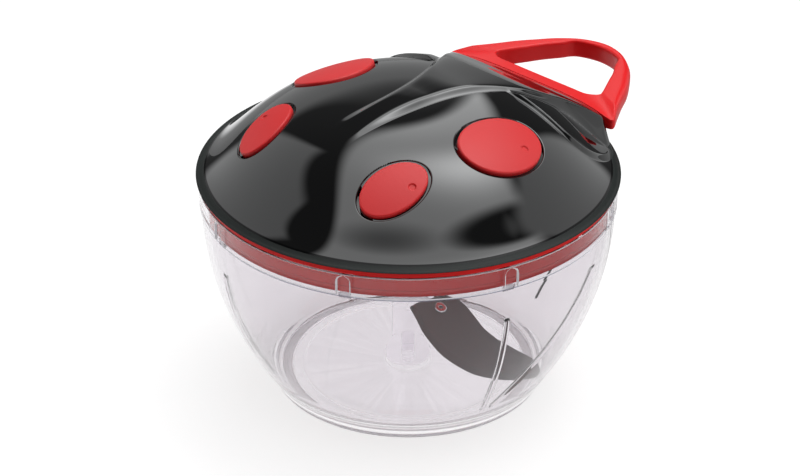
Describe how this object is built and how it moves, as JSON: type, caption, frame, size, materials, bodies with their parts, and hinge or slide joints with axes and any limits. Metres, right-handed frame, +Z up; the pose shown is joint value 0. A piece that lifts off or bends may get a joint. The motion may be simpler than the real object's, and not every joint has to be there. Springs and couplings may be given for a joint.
{
  "type": "manual food chopper",
  "caption": "Pull-cord food chopper: clear round bowl, domed black lid with oval red pads, red loop handle at the tail and blades on a centre pin.",
  "frame": {"origin": "centre of the bowl's flat underside, on the blades' axis", "axes": "+Z up along the blades' axis, +Y towards the handle at the lid's tail, the way the handle is pulled, +X to the lid's right"},
  "size_m": [0.1518, 0.1844, 0.1118],
  "materials": {
    "clear_plastic": "clear, polished",
    "red_plastic": "satin gloss",
    "black_plastic": "mirror gloss",
    "red_rubber": "fine matte grain",
    "clear_rubber": "translucent, matte",
    "grey_plastic": "moulded",
    "white_plastic": "moulded",
    "steel": "bright",
    "blade_steel": "dark reflection, satin",
    "brass": "turned",
    "cord": "braided"
  },
  "bodies": {
    "bowl": {"bowl": "clear_plastic", "spindle_pin": "steel", "non_slip_ring": "clear_rubber"},
    "lid": {"lid_base": "red_plastic", "lid_seal": "red_rubber", "top_shell": "black_plastic", "spot_pad_rear_left": "red_rubber", "spot_pad_rear_right": "red_rubber", "spot_pad_front_left": "red_rubber", "spot_pad_front_right": "red_rubber", "cord_guide": "steel", "cord_run": "cord", "mechanism_cover": "grey_plastic", "spring_arbor": "steel", "recoil_spring": "steel", "bearing_bush": "brass", "shell_screw_1": "steel", "shell_screw_2": "steel", "shell_screw_3": "steel", "shell_screw_4": "steel", "cover_screw_1": "steel", "cover_screw_2": "steel", "cover_screw_3": "steel"},
    "reel": {"cord_reel": "white_plastic", "cord_winding": "cord", "drive_coupler": "grey_plastic", "reel_screw": "steel"},
    "handle": {"pull_handle": "red_plastic", "cord_end": "cord"},
    "blades": {"blade_column": "clear_plastic", "lower_blade": "blade_steel", "lower_blade_rivet": "steel", "upper_blade": "blade_steel", "upper_blade_rivet": "steel"}
  },
  "joints": [
    {"name": "lid_lift", "type": "slide", "parent": "bowl", "child": "lid", "axis": [0, 0, 1], "range_m": [0, 0.15]},
    {"name": "handle_pull", "type": "slide", "parent": "lid", "child": "handle", "axis": [0, 1, 0], "range_m": [0, 0.45], "stiffness_N_per_m": 12, "springref_m": -0.3},
    {"name": "reel_spin", "type": "hinge", "parent": "lid", "child": "reel", "pos_m": [0, 0, 0.0802], "axis": [0, 0, 1], "range_deg": [0, 1440]},
    {"name": "blade_spin", "type": "hinge", "parent": "bowl", "child": "blades", "pos_m": [0, 0, 0.005], "axis": [0, 0, 1], "continuous": true}
  ],
  "couplings": [
    {"joint": "reel_spin", "follows": "handle_pull", "rad_per_m": 55.5},
    {"joint": "blade_spin", "follows": "handle_pull", "rad_per_m": 55.5}
  ]
}
